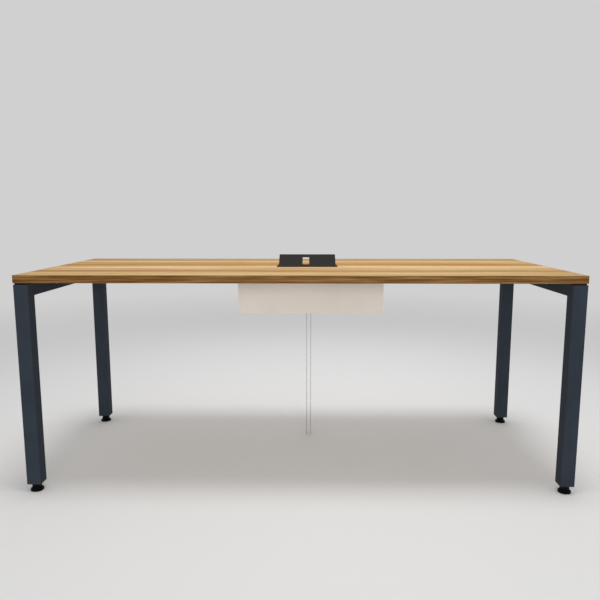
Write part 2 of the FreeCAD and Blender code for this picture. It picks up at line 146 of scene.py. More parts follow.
class Graph:
    """A node tree, and short calls that add to it."""

    def __init__(self, tree: bpy.types.NodeTree) -> None:
        """Work on a tree."""
        self.tree = tree

    def node(self, kind: str, **settings: object) -> bpy.types.Node:
        """Add a node.

        Args:
            kind: The node's type.
            settings: Properties of the node to set.

        Returns:
            The new node.
        """
        made = self.tree.nodes.new(kind)
        for key, value in settings.items():
            setattr(made, key, value)
        return made

    def feed(self, made: bpy.types.Node, **inputs: object) -> None:
        """Give a node's inputs, each named with _ for a blank, a value or another node's output."""
        for key, value in inputs.items():
            self.give(made.inputs[key.replace("_", " ")], value)

    def give(self, socket: Socket, value: object) -> None:
        """Link another node's output to a socket, or set a plain value on it.

        Args:
            socket: The socket.
            value: The output or the value.
        """
        if isinstance(value, Socket):
            self.tree.links.new(value, socket)
        else:
            socket.default_value = value

    def mix(self, blend: str, factor: object, below: object, above: object) -> Socket:
        """Mix two colours.

        Args:
            blend: The blend type.
            factor: How much of the upper colour shows, as a number or an output.
            below: The lower colour.
            above: The upper colour.

        Returns:
            The mixed colour.
        """
        made = self.node("ShaderNodeMix", data_type="RGBA", blend_type=blend)
        self.give(made.inputs["Factor"], factor)
        for number, colour in zip(MIX_COLOURS_IN, (below, above)):
            self.give(made.inputs[number], colour)
        return made.outputs[MIX_COLOUR_OUT]

    def math(self, operation: str, *values: object) -> Socket:
        """Work out a value.

        Args:
            operation: The Math node's operation.
            values: What it works on, as numbers or outputs.

        Returns:
            The result.
        """
        made = self.node("ShaderNodeMath", operation=operation)
        for socket, value in zip(made.inputs, values):
            self.give(socket, value)
        return made.outputs["Value"]


class Surface(Graph):
    """A material's node tree, with one Principled shader and the surface point's place."""

    def __init__(self, name: str) -> None:
        """Make a plain material.

        Args:
            name: The material's name.
        """
        self.material = bpy.data.materials.new(name)
        self.material.use_nodes = True
        super().__init__(self.material.node_tree)
        self.shader = self.tree.nodes["Principled BSDF"]
        self.place = self.node("ShaderNodeTexCoord").outputs["Object"]

    def set(self, **inputs: object) -> None:
        """Give the shader's inputs."""
        self.feed(self.shader, **inputs)

    def axis(self, vector: Socket, name: str) -> Socket:
        """Take one coordinate of a vector.

        Args:
            vector: The vector.
            name: The coordinate, X, Y or Z.

        Returns:
            Its value.
        """
        split = self.node("ShaderNodeSeparateXYZ")
        self.feed(split, Vector=vector)
        return split.outputs[name]

    def scaled(self, scale: Sequence[float]) -> Socket:
        """Scale the surface point's place.

        Args:
            scale: The scale along each axis.

        Returns:
            The scaled place.
        """
        mapping = self.node("ShaderNodeMapping")
        self.feed(mapping, Vector=self.place, Scale=scale)
        return mapping.outputs["Vector"]

    def noise(self, size: Sequence[float], detail: float = 2.0, roughness: float = 0.5,
              distortion: float = 0.0) -> Socket:
        """Add a noise.

        Args:
            size: The size of its blotches along each axis, in metres.
            detail: How many finer layers it has.
            roughness: How strong the finer layers are.
            distortion: How far the blotches are twisted.

        Returns:
            The noise's value, 0 to 1.
        """
        made = self.node("ShaderNodeTexNoise")
        self.feed(made, Vector=self.scaled([1 / length for length in size]), Scale=1.0, Detail=detail,
                  Roughness=roughness, Distortion=distortion)
        return made.outputs["Fac"]

    def ramp(self, value: Socket, stops: Stops) -> Socket:
        """Colour a value by a ramp.

        Args:
            value: The value, 0 to 1.
            stops: Positions and colours, from low to high.

        Returns:
            The colour.
        """
        made = self.node("ShaderNodeValToRGB")
        elements = made.color_ramp.elements
        while len(elements) < len(stops):
            elements.new(1.0)
        for element, (position, colour) in zip(elements, stops):
            element.position = position
            element.color = colour
        self.feed(made, Fac=value)
        return made.outputs["Color"]

    def fade(self, value: Socket, span: Span, low: Colour, high: Colour) -> Socket:
        """Colour a value, 0 to 1, with a low tone up to a span's start and a high tone from its end on."""
        return self.ramp(value, [(span[0], low), (span[1], high)])

    def spread(self, value: Socket, source: Span, target: Span) -> Socket:
        """Map a value from one range to another, held at its ends.

        Args:
            value: The value.
            source: The range that it comes in.
            target: The range that it leaves in.

        Returns:
            The mapped value.
        """
        made = self.node("ShaderNodeMapRange")
        self.feed(made, Value=value, From_Min=source[0], From_Max=source[1],
                  To_Min=target[0], To_Max=target[1])
        return made.outputs["Result"]

    def bump(self, height: Socket, depth: float) -> None:
        """Raise the surface.

        Args:
            height: How high each point stands, 0 to 1.
            depth: What a height of 1 stands for, in metres.
        """
        made = self.node("ShaderNodeBump")
        self.feed(made, Height=height, Distance=depth, Strength=1.0)
        self.set(Normal=made.outputs["Normal"])


def cube_size(length: float) -> Triple:
    """The same size along all three axes."""
    return length, length, length


@dataclass(frozen=True)
class Plank:
    """One strip of the oak face, by its width and tone."""

    width: float
    tone: Colour


@dataclass(frozen=True)
class OakFace:
    """Satin oak laminate: planks side by side, with streaks, growth figure and pores along the length."""

    name: str = "satin_oak_laminate"
    planks: tuple[Plank, ...] = (
        Plank(0.123, srgb(232, 203, 148)),
        Plank(0.073, srgb(199, 164, 102)),
        Plank(0.079, srgb(231, 197, 144)),
        Plank(0.087, srgb(252, 219, 169)),
        Plank(0.043, srgb(213, 168, 102)),
        Plank(0.048, srgb(200, 155, 85)),
        Plank(0.100, srgb(223, 181, 110)),
        Plank(0.055, srgb(251, 223, 164)),
        Plank(0.132, srgb(206, 176, 125)),
    )
    seam: float = 0.006
    wander_size: Triple = (0.70, 0.10, 0.10)
    wander_reach: float = 0.010
    growth_spacing: float = 0.009
    growth_span: Span = (0.45, 0.95)
    growth_tone: Colour = srgb(226, 214, 196)
    swerve: float = 18.0
    swerve_length: float = 0.50
    swerve_width: float = 0.06
    streak_size: Triple = (0.80, 0.011, 0.011)
    streak_span: Span = (0.36, 0.60)
    streak_tone: Colour = srgb(222, 208, 190)
    figure_size: Triple = (0.45, 0.035, 0.035)
    figure_span: Span = (0.40, 0.62)
    figure_tone: Colour = srgb(236, 228, 214)
    pore_size: Triple = (0.030, 0.0011, 0.0011)
    pore_span: Span = (0.56, 0.68)
    pore_tone: Colour = srgb(206, 190, 168)
    pore_depth: float = 0.00008
    roughness: Span = (0.56, 0.68)
    specular: float = 0.10
    core_size: float = 0.0035
    core_span: Span = (0.40, 0.60)
    core_tones: tuple[Colour, Colour] = (srgb(150, 118, 82), srgb(196, 166, 124))
    wall_span: Span = (0.4, 0.6)

    def stops(self) -> list[tuple[float, Colour]]:
        """The planks as stops of a ramp, from the front edge to the rear edge.

        Returns:
            Two stops for each plank, half a seam inside its edges.
        """
        depth = sum(plank.width for plank in self.planks)
        made = []
        start = 0.0
        for plank in self.planks:
            end = start + plank.width
            made.append(((start + self.seam / 2) / depth, plank.tone))
            made.append(((end - self.seam / 2) / depth, plank.tone))
            start = end
        return made

    def material(self, front: float, rear: float) -> bpy.types.Material:
        """Make the finish.

        Args:
            front: Where the front edge of the top is along Y.
            rear: Where its rear edge is.

        Returns:
            The material.
        """
        graph = Surface(self.name)
        streaks = graph.noise(self.streak_size, detail=5.0, roughness=0.6)
        figure = graph.noise(self.figure_size, distortion=0.8)
        pores = graph.noise(self.pore_size)
        layers = (
            graph.fade(streaks, self.streak_span, self.streak_tone, WHITE),
            graph.fade(figure, self.figure_span, self.figure_tone, WHITE),
            graph.fade(self.growth(graph), self.growth_span, WHITE, self.growth_tone),
            graph.fade(pores, self.pore_span, WHITE, self.pore_tone),
        )
        tone = graph.ramp(graph.spread(self.wander(graph), (front, rear), RISING), self.stops())
        for layer in layers:
            tone = graph.mix("MULTIPLY", 1.0, tone, layer)
        chips = graph.noise(cube_size(self.core_size), detail=3.0)
        core = graph.fade(chips, self.core_span, *self.core_tones)
        graph.set(Base_Color=graph.mix("MIX", self.sawn(graph), tone, core),
                  Roughness=graph.spread(streaks, NOISE_SPAN, self.roughness),
                  Specular_IOR_Level=self.specular)
        graph.bump(graph.spread(pores, self.pore_span, FALLING), self.pore_depth)
        return graph.material

    def sawn(self, graph: Surface) -> Socket:
        """Find where the board is sawn, on its upright walls.

        Args:
            graph: The material's nodes.

        Returns:
            A value of 1 on the walls and 0 on the faces.
        """
        normal = graph.node("ShaderNodeNewGeometry").outputs["Normal"]
        upright = graph.math("ABSOLUTE", graph.axis(normal, "Z"))
        return graph.spread(upright, self.wall_span, FALLING)

    def wander(self, graph: Surface) -> Socket:
        """Find the place across the top, with the planks' seams wandering a little along the length.

        Args:
            graph: The material's nodes.

        Returns:
            The place along Y, in metres.
        """
        reach = (-self.wander_reach, self.wander_reach)
        drift = graph.spread(graph.noise(self.wander_size), NOISE_SPAN, reach)
        return graph.math("ADD", graph.axis(graph.place, "Y"), drift)

    def growth(self, graph: Surface) -> Socket:
        """Draw growth lines along the length, which swerve and crowd as in a sawn plank.

        Args:
            graph: The material's nodes.

        Returns:
            A value that climbs from 0 to 1 over each year's growth.
        """
        across = WAVE_PERIOD / self.growth_spacing
        detail_scale = 1 / (across * self.swerve_width)
        along = 1 / (detail_scale * self.swerve_length)
        made = graph.node("ShaderNodeTexWave", wave_type="BANDS", bands_direction="Y", wave_profile="SAW")
        graph.feed(made, Vector=graph.scaled((along, across, across)), Scale=1.0, Distortion=self.swerve,
                   Detail=2.0, Detail_Scale=detail_scale)
        return made.outputs["Fac"]


@dataclass(frozen=True)
class OakEdge:
    """Satin oak edge band, darker than the face, with long streaks along its own run."""

    name: str
    grain: Grain
    tones: tuple[Colour, Colour, Colour] = (srgb(94, 63, 26), srgb(131, 95, 51), srgb(160, 124, 78))
    tone_stops: Triple = (0.34, 0.50, 0.66)
    streak_length: float = 0.20
    streak_width: float = 0.0045
    line_length: float = 0.10
    line_width: float = 0.0012
    line_span: Span = (0.42, 0.56)
    line_tone: Colour = srgb(216, 204, 190)
    line_depth: float = 0.00006
    roughness: Span = (0.45, 0.58)
    specular: float = 0.08

    def along(self, length: float, width: float) -> list[float]:
        """Turn a blotch along the grain.

        Args:
            length: Its size along the grain.
            width: Its size across the grain.

        Returns:
            Its size along each axis.
        """
        size = list(cube_size(width))
        size[self.grain.value] = length
        return size

    def material(self) -> bpy.types.Material:
        """Make the finish.

        Returns:
            The material.
        """
        graph = Surface(self.name)
        streaks = graph.noise(self.along(self.streak_length, self.streak_width), detail=4.0, roughness=0.6)
        lines = graph.noise(self.along(self.line_length, self.line_width))
        tone = graph.ramp(streaks, list(zip(self.tone_stops, self.tones)))
        tone = graph.mix("MULTIPLY", 1.0, tone, graph.fade(lines, self.line_span, self.line_tone, WHITE))
        graph.set(Base_Color=tone, Roughness=graph.spread(streaks, NOISE_SPAN, self.roughness),
                  Specular_IOR_Level=self.specular)
        graph.bump(lines, self.line_depth)
        return graph.material


@dataclass(frozen=True)
class PowderCoat:
    """Baked powder paint: faint clouds in its tone, fine specks and a shallow orange peel."""

    name: str
    tone: Colour
    cloud_tone: Colour
    speck_tone: Colour
    roughness: Span = (0.50, 0.64)
    specular: float = 0.10
    cloud_size: float = 0.14
    speck_size: float = 0.0012
    speck_span: Span = (0.58, 0.72)
    speck_share: float = 0.6
    peel_size: float = 0.0030
    peel_depth: float = 0.00005

    def material(self) -> bpy.types.Material:
        """Make the finish.

        Returns:
            The material.
        """
        graph = Surface(self.name)
        clouds = graph.noise(cube_size(self.cloud_size), detail=4.0)
        specks = graph.noise(cube_size(self.speck_size), detail=1.0)
        tone = graph.fade(clouds, TONE_SPAN, self.cloud_tone, self.tone)
        speckled = graph.spread(specks, self.speck_span, (0.0, self.speck_share))
        graph.set(Base_Color=graph.mix("MIX", speckled, tone, self.speck_tone),
                  Roughness=graph.spread(clouds, NOISE_SPAN, self.roughness),
                  Specular_IOR_Level=self.specular)
        graph.bump(graph.noise(cube_size(self.peel_size)), self.peel_depth)
        return graph.material


@dataclass(frozen=True)
class MouldedPlastic:
    """Matt moulded plastic with a fine leathery grain and slight clouds."""

    name: str = "moulded_black_plastic"
    tones: tuple[Colour, Colour] = (srgb(8, 8, 9), srgb(15, 15, 16))
    cloud_size: float = 0.02
    grain_size: float = 0.0009
    grain_depth: float = 0.00006
    roughness: Span = (0.48, 0.66)
    specular: float = 0.06

    def material(self) -> bpy.types.Material:
        """Make the finish.

        Returns:
            The material.
        """
        graph = Surface(self.name)
        clouds = graph.noise(cube_size(self.cloud_size), detail=3.0)
        graph.set(Base_Color=graph.fade(clouds, TONE_SPAN, *self.tones),
                  Roughness=graph.spread(clouds, NOISE_SPAN, self.roughness),
                  Specular_IOR_Level=self.specular)
        graph.bump(graph.noise(cube_size(self.grain_size)), self.grain_depth)
        return graph.material


@dataclass(frozen=True)
class PlatedSteel:
    """Zinc-plated steel: a bright grey with cool and warm blotches and fine drawing lines."""

    name: str = "zinc_plated_steel"
    tones: tuple[Colour, Colour] = (srgb(176, 180, 186), srgb(206, 206, 202))
    blotch_size: float = 0.006
    line_size: Triple = (0.0004, 0.0004, 0.02)
    line_depth: float = 0.00001
    roughness: Span = (0.26, 0.42)

    def material(self) -> bpy.types.Material:
        """Make the finish.

        Returns:
            The material.
        """
        graph = Surface(self.name)
        blotches = graph.noise(cube_size(self.blotch_size), detail=3.0)
        graph.set(Base_Color=graph.fade(blotches, TONE_SPAN, *self.tones),
                  Roughness=graph.spread(blotches, NOISE_SPAN, self.roughness), Metallic=1.0)
        graph.bump(graph.noise(self.line_size), self.line_depth)
        return graph.material


@dataclass(frozen=True)
class ClearPlastic:
    """Clear extruded tube: see-through face on, with painted shade at its limbs in place of the darker
    light the walls bend there, and faint draw lines.
    """

    name: str = "clear_extruded_plastic"
    face_tone: Colour = WHITE
    limb_shade_tone: Colour = srgb(120, 120, 122)
    limb_span: Span = (0.25, 0.90)
    refraction: float = 1.18
    roughness: Span = (0.0, 0.02)
    line_size: Triple = (0.002, 0.002, 0.60)
    line_span: Span = (0.4, 0.7)

    def material(self) -> bpy.types.Material:
        """Make the finish.

        Returns:
            The material.
        """
        graph = Surface(self.name)
        limb = graph.node("ShaderNodeLayerWeight").outputs["Facing"]
        lines = graph.noise(self.line_size)
        # Painted shade: the base colour turns grey as the surface turns away from the view, standing in for
        # the dark edges of a clear tube.
        graph.set(Base_Color=graph.fade(limb, self.limb_span, self.face_tone, self.limb_shade_tone),
                  Roughness=graph.spread(lines, self.line_span, self.roughness),
                  Transmission_Weight=1.0, IOR=self.refraction)
        return graph.material


@dataclass(frozen=True)
class Palette:
    """The finishes of the table, made once and shared by its pieces."""

    oak_face: bpy.types.Material
    oak_edge_long: bpy.types.Material
    oak_edge_end: bpy.types.Material
    slate: bpy.types.Material
    black: bpy.types.Material
    zinc: bpy.types.Material
    charcoal: bpy.types.Material
    cream: bpy.types.Material
    clear: bpy.types.Material


def make_palette() -> Palette:
    """Make every finish.

    Returns:
        The finishes by name.
    """
    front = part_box("edge_band_front")[0].y
    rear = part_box("edge_band_rear")[1].y
    return Palette(
        oak_face=OakFace().material(front, rear),
        oak_edge_long=OakEdge("oak_edge_long", Grain.ALONG_X).material(),
        oak_edge_end=OakEdge("oak_edge_end", Grain.ALONG_Y).material(),
        slate=PowderCoat("slate_powder_coat", tone=srgb(54, 61, 70), cloud_tone=srgb(49, 55, 63),
                         speck_tone=srgb(64, 71, 81), specular=0.02).material(),
        black=MouldedPlastic().material(),
        zinc=PlatedSteel().material(),
        charcoal=PowderCoat("charcoal_powder_coat", tone=srgb(40, 38, 36), cloud_tone=srgb(35, 33, 31),
                            speck_tone=srgb(50, 48, 46)).material(),
        cream=PowderCoat("cream_powder_coat", tone=srgb(232, 225, 218), cloud_tone=srgb(226, 218, 210),
                         speck_tone=srgb(238, 232, 226)).material(),
        clear=ClearPlastic().material(),
    )


@dataclass(frozen=True)
class Ring:
    """One ring of a lofted piece: half its width across flats, its height and its outline."""

    half_width: float
    height: float
    outline: Outline = Outline.ROUND

    def points(self, count: int) -> list[Vector]:
        """The ring's points.

        Args:
            count: How many points it has.

        Returns:
            The points, anticlockwise seen from above.
        """
        made = []
        for step in range(count):
            turn = 2 * math.pi * step / count
            reach = self.half_width
            if self.outline is Outline.HEXAGON:
                sector = math.pi / 3
                reach /= math.cos((turn + sector / 2) % sector - sector / 2)
            made.append(Vector((reach * math.cos(turn), reach * math.sin(turn), self.height)))
        return made


def base_of(low: Vector, high: Vector) -> Vector:
    """The middle of a box's lower face."""
    return Vector(((low.x + high.x) / 2, (low.y + high.y) / 2, low.z))


def aim(point: Vector, direction: Vector) -> Matrix:
    """A placement that puts the origin at a point and turns +Z along a direction."""
    return Matrix.Translation(point) @ direction.to_track_quat("Z", "Y").to_matrix().to_4x4()


def skin(mesh: bmesh.types.BMesh, rows: Sequence[Sequence[Vector]], place: Matrix) -> None:
    """Add a closed tube through rows of points, with both ends filled.

    Args:
        mesh: The mesh to add to.
        rows: Rings of points, as many in each.
        place: Where the tube goes.
    """
    rings = [[mesh.verts.new(place @ point) for point in row] for row in rows]
    for lower, upper in zip(rings, rings[1:]):
        for step in range(len(lower)):
            after = (step + 1) % len(lower)
            mesh.faces.new((lower[step], lower[after], upper[after], upper[step]))
    mesh.faces.new(list(reversed(rings[0])))
    mesh.faces.new(rings[-1])


def loft(mesh: bmesh.types.BMesh, rings: Sequence[Ring], place: Matrix, count: int = HEAD_POINTS) -> None:
    """Add a closed piece through rings, from end to end, with a multiple of six points in each."""
    skin(mesh, [ring.points(count) for ring in rings], place)


def make_piece(name: str, mesh: bmesh.types.BMesh, finish: bpy.types.Material,
               body: str = FIXED_BODY, stands_for: Sequence[str] = ()) -> None:
    """Make an object of a mesh, shade its round faces smooth and fix it to its body.

    Args:
        name: The piece's name.
        mesh: Its mesh, which is used up.
        finish: Its material.
        body: The body that it moves with.
        stands_for: The frame's nodes that it replaces.
    """
    bmesh.ops.recalc_face_normals(mesh, faces=mesh.faces)
    for face in mesh.faces:
        face.smooth = True
    for edge in mesh.edges:
        edge.smooth = edge.calc_face_angle(0.0) < SHARP_ANGLE
    data = bpy.data.meshes.new(name)
    mesh.to_mesh(data)
    mesh.free()
    data.materials.append(finish)
    piece = bpy.data.objects.new(name, data)
    bpy.context.scene.collection.objects.link(piece)
    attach(piece, body)
    if stands_for:
        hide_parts(*stands_for)
    LOG.info("made %s on %s", name, body)


class Fastener:
    """A fastener that shows its head."""

    def rings(self) -> list[Ring]:
        """The head's rings, from its seat up."""
        raise NotImplementedError

    def drive(self, mesh: bmesh.types.BMesh, places: Iterable[Vector], direction: Vector) -> None:
        """Add a head of this kind to a mesh at each place, facing a direction."""
        for place in places:
            loft(mesh, self.rings(), aim(place, direction))


@dataclass(frozen=True)
class ButtonScrew(Fastener):
    """A low round screw head with a six-sided socket.

    The sizes from the wall on are shares of the radius and the height.
    """

    radius: float = 0.0050
    height: float = 0.0026
    socket: float = 0.0015
    socket_depth: float = 0.0016
    easing: float = 0.0005
    wall: float = 0.35
    shoulder_radius: float = 0.92
    shoulder_height: float = 0.75
    crown: float = 0.72

    def rings(self) -> list[Ring]:
        """Shape the head.

        Returns:
            Its rings, from the seat over the crown down into the socket.
        """
        return [
            Ring(self.radius, 0.0),
            Ring(self.radius, self.height * self.wall),
            Ring(self.radius * self.shoulder_radius, self.height * self.shoulder_height),
            Ring(self.radius * self.crown, self.height),
            Ring(self.socket + self.easing, self.height, Outline.HEXAGON),
            Ring(self.socket, self.height - self.easing, Outline.HEXAGON),
            Ring(self.socket, self.height - self.socket_depth, Outline.HEXAGON),
        ]


@dataclass(frozen=True)
class HexBolt(Fastener):
    """A six-sided bolt head on a round washer."""

    washer_radius: float = 0.0085
    washer_height: float = 0.0016
    flats: float = 0.010
    height: float = 0.0040
    easing: float = 0.0007

    def rings(self) -> list[Ring]:
        """Shape the washer and the head.

        Returns:
            Their rings, from the seat up.
        """
        top = self.washer_height + self.height
        return [
            Ring(self.washer_radius, 0.0),
            Ring(self.washer_radius, self.washer_height - self.easing / 2),
            Ring(self.washer_radius - self.easing / 2, self.washer_height),
            Ring(self.flats / 2, self.washer_height, Outline.HEXAGON),
            Ring(self.flats / 2, top - self.easing, Outline.HEXAGON),
            Ring(self.flats / 2, top),
        ]


@dataclass(frozen=True)
class DomeRivet(Fastener):
    """A domed blind rivet with the dimple that its mandrel leaves.

    The sizes from the wall on are shares of the radius, the height and the dimple.
    """

    radius: float = 0.0040
    height: float = 0.0015
    dimple: float = 0.0011
    wall: float = 0.30
    shoulder_radius: float = 0.80
    shoulder_height: float = 0.78
    crown: float = 0.50
    dimple_taper: float = 0.8
    dimple_floor: float = 0.5

    def rings(self) -> list[Ring]:
        """Shape the rivet.

        Returns:
            Its rings, from the rim over the dome into the dimple.
        """
        return [
            Ring(self.radius, 0.0),
            Ring(self.radius, self.height * self.wall),
            Ring(self.radius * self.shoulder_radius, self.height * self.shoulder_height),
            Ring(self.radius * self.crown, self.height),
            Ring(self.dimple, self.height),
            Ring(self.dimple * self.dimple_taper, self.height * self.dimple_floor),
        ]


@dataclass(frozen=True)
class WeldBead:
    """A run of weld: overlapping scales along a corner, tapered at its ends."""

    radius: float = 0.0022
    scale_length: float = 0.0030
    ripple: float = 0.16
    end_share: float = 0.35
    rings_per_scale: int = 4
    points: int = 12

    def lay(self, mesh: bmesh.types.BMesh, start: Vector, end: Vector) -> None:
        """Add a bead.

        Args:
            mesh: The mesh to add to.
            start: Where the run starts.
            end: Where it ends.
        """
        run = end - start
        steps = max(2, round(run.length / self.scale_length)) * self.rings_per_scale
        rings = []
        for step in range(steps + 1):
            height = run.length * step / steps
            taper = min(1.0, self.end_share + min(height, run.length - height) / (2 * self.radius))
            scales = 1 + self.ripple * math.cos(2 * math.pi * height / self.scale_length)
            rings.append(Ring(self.radius * taper * scales, height))
        loft(mesh, rings, aim(start, run), self.points)


@dataclass
class SubAssembly:
    """Pieces of the table that belong together: nodes of the frame to dress and pieces to make."""

    nodes: dict[str, bpy.types.Object]
    palette: Palette

    def dress(self) -> None:
        """Give the frame's nodes their finishes."""
        raise NotImplementedError

    def build(self) -> None:
        """Make the pieces that the frame leaves out, where there are any."""

    def coat(self, names: Iterable[str], finish: bpy.types.Material) -> None:
        """Give some of the frame's nodes a finish.

        Args:
            names: The nodes.
            finish: Their material.
        """
        for name in names:
            slots = self.nodes[name].data.materials
            slots.clear()
            slots.append(finish)
            LOG.info("dressed %s in %s", name, finish.name)


@dataclass
class TableTop(SubAssembly):
    """The board and its edge bands."""

    def dress(self) -> None:
        """Give the board and the bands their oak."""
        self.coat(["top_board"], self.palette.oak_face)
        self.coat(["edge_band_front", "edge_band_rear"], self.palette.oak_edge_long)
        self.coat(["edge_band_left", "edge_band_right"], self.palette.oak_edge_end)


@dataclass
class EndFrames(SubAssembly):
    """The legs, their caps and spacers, the end rails and the packers that the top is screwed down on."""

    screw_spacing: float = 0.400
    screw: ButtonScrew = field(default_factory=ButtonScrew)
    bead: WeldBead = field(default_factory=WeldBead)

    def dress(self) -> None:
        """Paint the steel and give the packers their plastic."""
        steel = ["end_rail_left", "end_rail_right"]
        for corner in Corner:
            steel += ["leg_" + corner.value, "leg_cap_" + corner.value]
        self.coat(steel, self.palette.slate)
        self.coat(["leg_spacers", "rail_packers"], self.palette.black)

    def build(self) -> None:
        """Make the screws under the rails and the welds between rails and legs."""
        screws = bmesh.new()
        welds = bmesh.new()
        for name in ("end_rail_left", "end_rail_right"):
            low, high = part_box(name)
            middle = (low + high) / 2
            places = [Vector((middle.x, middle.y + side * self.screw_spacing / 2, low.z)) for side in SIDES]
            self.screw.drive(screws, places, DOWN)
            for y in (low.y, high.y):
                self.bead.lay(welds, Vector((low.x, y, low.z)), Vector((high.x, y, low.z)))
                for x in (low.x, high.x):
                    self.bead.lay(welds, Vector((x, y, low.z)), Vector((x, y, high.z)))
        make_piece("rail_screw_heads", screws, self.palette.zinc)
        make_piece("rail_welds", welds, self.palette.slate)


@dataclass
class LongBeams(SubAssembly):
    """The two beams under the top, their end plates and packers."""

    packer_length: float = 0.060
    packer_width: float = 0.020
    plate_ear: float = 0.024
    screw: ButtonScrew = field(default_factory=ButtonScrew)
    bolt: HexBolt = field(default_factory=HexBolt)
    bead: WeldBead = field(default_factory=lambda: WeldBead(radius=0.0018))

    def dress(self) -> None:
        """Paint the steel and give the packers their plastic."""
        steel = ["beam_front", "beam_rear"] + ["beam_plate_" + corner.value for corner in Corner]
        self.coat(steel, self.palette.slate)
        self.coat(["beam_packers"], self.palette.black)

    def build(self) -> None:
        """Make the screws under the beams, the bolts in the end plates and the plates' welds."""
        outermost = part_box("beam_packers")[1]
        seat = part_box("beam_front")[0].z
        x = outermost.x - self.packer_length / 2
        y = outermost.y - self.packer_width / 2
        places = [Vector((side_x * x, side_y * y, seat)) for side_x in SIDES for side_y in SIDES]
        screws = bmesh.new()
        bolts = bmesh.new()
        welds = bmesh.new()
        self.screw.drive(screws, places, DOWN)
        for corner in Corner:
            self.fasten_plate(corner, bolts, welds)
        make_piece("beam_screw_heads", screws, self.palette.zinc)
        make_piece("beam_plate_bolts", bolts, self.palette.zinc)
        make_piece("beam_welds", welds, self.palette.slate)

    def fasten_plate(self, corner: Corner, bolts: bmesh.types.BMesh, welds: bmesh.types.BMesh) -> None:
        """Add one plate's two bolts and the weld round the beam's end.

        Args:
            corner: The plate's corner.
            bolts: The mesh of all the bolts.
            welds: The mesh of all the welds.
        """
        low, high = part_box("beam_plate_" + corner.value)
        inward = Vector((1.0, 0.0, 0.0)) if low.x < 0 else Vector((-1.0, 0.0, 0.0))
        face = high.x if low.x < 0 else low.x
        middle = (low.z + high.z) / 2
        rows = (low.y + self.plate_ear / 2, high.y - self.plate_ear / 2)
        self.bolt.drive(bolts, [Vector((face, y, middle)) for y in rows], inward)
        beam_low, beam_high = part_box("beam_front" if low.y < 0 else "beam_rear")
        corners = [Vector((face, y, z)) for y, z in (
            (beam_low.y, beam_high.z), (beam_low.y, beam_low.z),
            (beam_high.y, beam_low.z), (beam_high.y, beam_high.z))]
        for start, end in zip(corners, corners[1:]):
            self.bead.lay(welds, start, end)


@dataclass
class LevellingFoot(SubAssembly):
    """One levelling foot: the insert in the leg, the threaded stud and the moulded pad.

    The last five sizes are shares of the easing.
    """

    corner: Corner
    pitch: float = 0.0015
    thread_depth: float = 0.0009
    rows_per_turn: int = 6
    points_per_turn: int = 30
    rim_height: float = 0.006
    pad_height: float = 0.010
    shoulder: float = 0.016
    neck_flats: float = 0.026
    seat_radius: float = 0.00505
    pad_points: int = 48
    easing: float = 0.0008
    sole_round: float = 0.3
    rim_drop: float = 0.6
    rim_inset: float = 0.4
    rim_rise: float = 0.2
    shoulder_drop: float = 0.5

    def dress(self) -> None:
        """Give the insert its plastic."""
        self.coat(["foot_insert_" + self.corner.value], self.palette.black)

    def build(self) -> None:
        """Make the stud with its thread and the pad with its eased edges."""
        self.make_stud()
        self.make_pad()

    def make_stud(self) -> None:
        """Make the stud, whose thread runs over its whole length."""
        name = "foot_stud_" + self.corner.value
        low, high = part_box(name)
        length = high.z - low.z
        steps = round(length / self.pitch) * self.rows_per_turn
        crest = (high.x - low.x) / 2
        rows = [self.thread_row(length * step / steps, length, crest) for step in range(steps + 1)]
        mesh = bmesh.new()
        skin(mesh, rows, Matrix.Translation(base_of(low, high)))
        make_piece("threaded_stud_" + self.corner.value, mesh, self.palette.zinc,
                   "foot_" + self.corner.value, [name])

    def thread_row(self, height: float, length: float, crest: float) -> list[Vector]:
        """Go round the stud once, in and out with its thread.

        Args:
            height: How high up the stud.
            length: The stud's length. The thread runs out at its tip.
            crest: The thread's outer radius.

        Returns:
            A ring of points.
        """
        tip = min(1.0, (length - height) / (2 * self.pitch))
        row = []
        for point in range(self.points_per_turn):
            turn = point / self.points_per_turn
            wave = abs(2 * ((height / self.pitch - turn) % 1.0) - 1)
            reach = crest - self.thread_depth * max(wave, 1 - tip)
            angle = 2 * math.pi * turn
            row.append(Vector((reach * math.cos(angle), reach * math.sin(angle), height)))
        return row

    def make_pad(self) -> None:
        """Make the pad: a round base with a sloped shoulder, a six-sided neck and the stud's seat."""
        name = "foot_pad_" + self.corner.value
        low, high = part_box(name)
        rim = (high.x - low.x) / 2
        neck = self.neck_flats / 2
        top = high.z - low.z
        seat_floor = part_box("foot_stud_" + self.corner.value)[0].z - low.z
        ease = self.easing
        rings = [
            Ring(rim - ease, 0.0),
            Ring(rim - ease * self.sole_round, ease * self.sole_round),
            Ring(rim, ease),
            Ring(rim, self.rim_height - ease * self.rim_drop),
            Ring(rim - ease * self.rim_inset, self.rim_height + ease * self.rim_rise),
            Ring(self.shoulder + ease, self.pad_height - ease * self.shoulder_drop),
            Ring(self.shoulder, self.pad_height),
            Ring(neck, self.pad_height, Outline.HEXAGON),
            Ring(neck, top - ease, Outline.HEXAGON),
            Ring(neck - ease, top, Outline.HEXAGON),
            Ring(self.seat_radius + ease, top),
            Ring(self.seat_radius, top - ease),
            Ring(self.seat_radius, seat_floor),
        ]
        mesh = bmesh.new()
        loft(mesh, rings, Matrix.Translation(base_of(low, high)), self.pad_points)
        make_piece("moulded_pad_" + self.corner.value, mesh, self.palette.black,
                   "foot_" + self.corner.value, [name])


